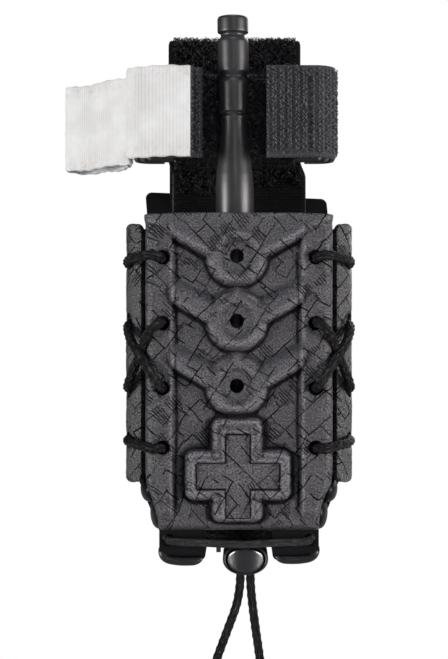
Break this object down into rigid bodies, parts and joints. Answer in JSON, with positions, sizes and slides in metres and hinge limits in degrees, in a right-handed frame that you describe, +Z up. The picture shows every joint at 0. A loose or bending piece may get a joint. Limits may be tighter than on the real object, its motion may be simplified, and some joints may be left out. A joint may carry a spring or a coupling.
{
  "type": "tourniquet",
  "caption": "Windlass tourniquet folded into a laced belt carrier: textured shell, rear shell with cord-laced flanges, hooked inner tray, cord lock, hinged belt clip and white time strap.",
  "frame": {"origin": "on the outer face of the belt clip's gate, on the carrier's centre line, 2.5 mm below the middle port of the front shell", "axes": "+Z up along the windlass rod and the way the tourniquet is drawn, +Y from the front shell towards the wearer, +X towards the right of someone facing the front shell"},
  "size_m": [0.0854, 0.0551, 0.1901],
  "materials": {
    "laminate": "embossed laminate, fine leather grain",
    "tray_plastic": "smooth satin",
    "cord": "braided sleeve",
    "lock_body_plastic": "satin moulding",
    "lock_plunger_plastic": "polished dome",
    "steel": "drawn wire",
    "black_steel": "black oxide",
    "clip_plastic": "fine spark texture",
    "windlass_plastic": "satin moulding",
    "band_fabric": "loop pile with woven selvedges",
    "ribbon_fabric": "plain woven tape",
    "hook_fabric": "woven tape with rows of hooks",
    "white_fabric": "ribbed woven tape"
  },
  "bodies": {
    "carrier": {"front_shell": "laminate", "rear_shell": "laminate", "inner_tray": "tray_plastic", "shock_cord_left": "cord", "shock_cord_right": "cord", "cross_cord": "cord", "lock_body": "lock_body_plastic", "lock_spring": "steel", "clip_base": "clip_plastic", "clip_hinge_pin": "steel", "clip_screws": "black_steel", "clip_washers": "black_steel", "tee_nuts": "black_steel"},
    "gate": {"clip_gate": "clip_plastic"},
    "plunger": {"lock_plunger": "lock_plunger_plastic"},
    "tail_left": {"cord_tail_left": "cord"},
    "tail_right": {"cord_tail_right": "cord"},
    "tourniquet": {"band": "band_fabric", "band_tip": "clip_plastic", "routing_buckle": "clip_plastic", "stabilising_plate": "clip_plastic", "windlass_clip": "windlass_plastic", "hook_wrap_left": "hook_fabric", "hook_wrap_right": "hook_fabric", "time_strap": "white_fabric"},
    "strap_tail": {"time_strap_tail": "white_fabric"},
    "windlass": {"windlass_rod": "windlass_plastic", "inner_ribbon": "ribbon_fabric"}
  },
  "joints": [
    {"name": "tourniquet_draw", "type": "slide", "parent": "carrier", "child": "tourniquet", "axis": [0, 0, 1], "range_m": [0, 0.11]},
    {"name": "windlass_turn", "type": "hinge", "parent": "tourniquet", "child": "windlass", "pos_m": [-0.0013, -0.0408, 0.0187], "axis": [0, 1, 0], "range_deg": [-4, 4]},
    {"name": "strap_tail_fold", "type": "hinge", "parent": "tourniquet", "child": "strap_tail", "pos_m": [-0.03175, -0.0348, 0.0606], "axis": [0, 0, 1], "range_deg": [-4, 130]},
    {"name": "gate_open", "type": "hinge", "parent": "carrier", "child": "gate", "pos_m": [0, -0.0054, 0.041], "axis": [1, 0, 0], "range_deg": [0, 70]},
    {"name": "cord_lock_press", "type": "slide", "parent": "carrier", "child": "plunger", "axis": [0, 1, 0], "range_m": [0, 0.003], "stiffness_N_per_m": 600, "springref_m": -0.002, "deforming": ["lock_spring"]},
    {"name": "left_tail_swing", "type": "hinge", "parent": "carrier", "child": "tail_left", "pos_m": [0.00038, -0.0409, -0.06964], "axis": [0, 1, 0], "range_deg": [-4, 25]},
    {"name": "right_tail_swing", "type": "hinge", "parent": "carrier", "child": "tail_right", "pos_m": [0.00322, -0.0409, -0.06964], "axis": [0, 1, 0], "range_deg": [-25, 4]}
  ]
}
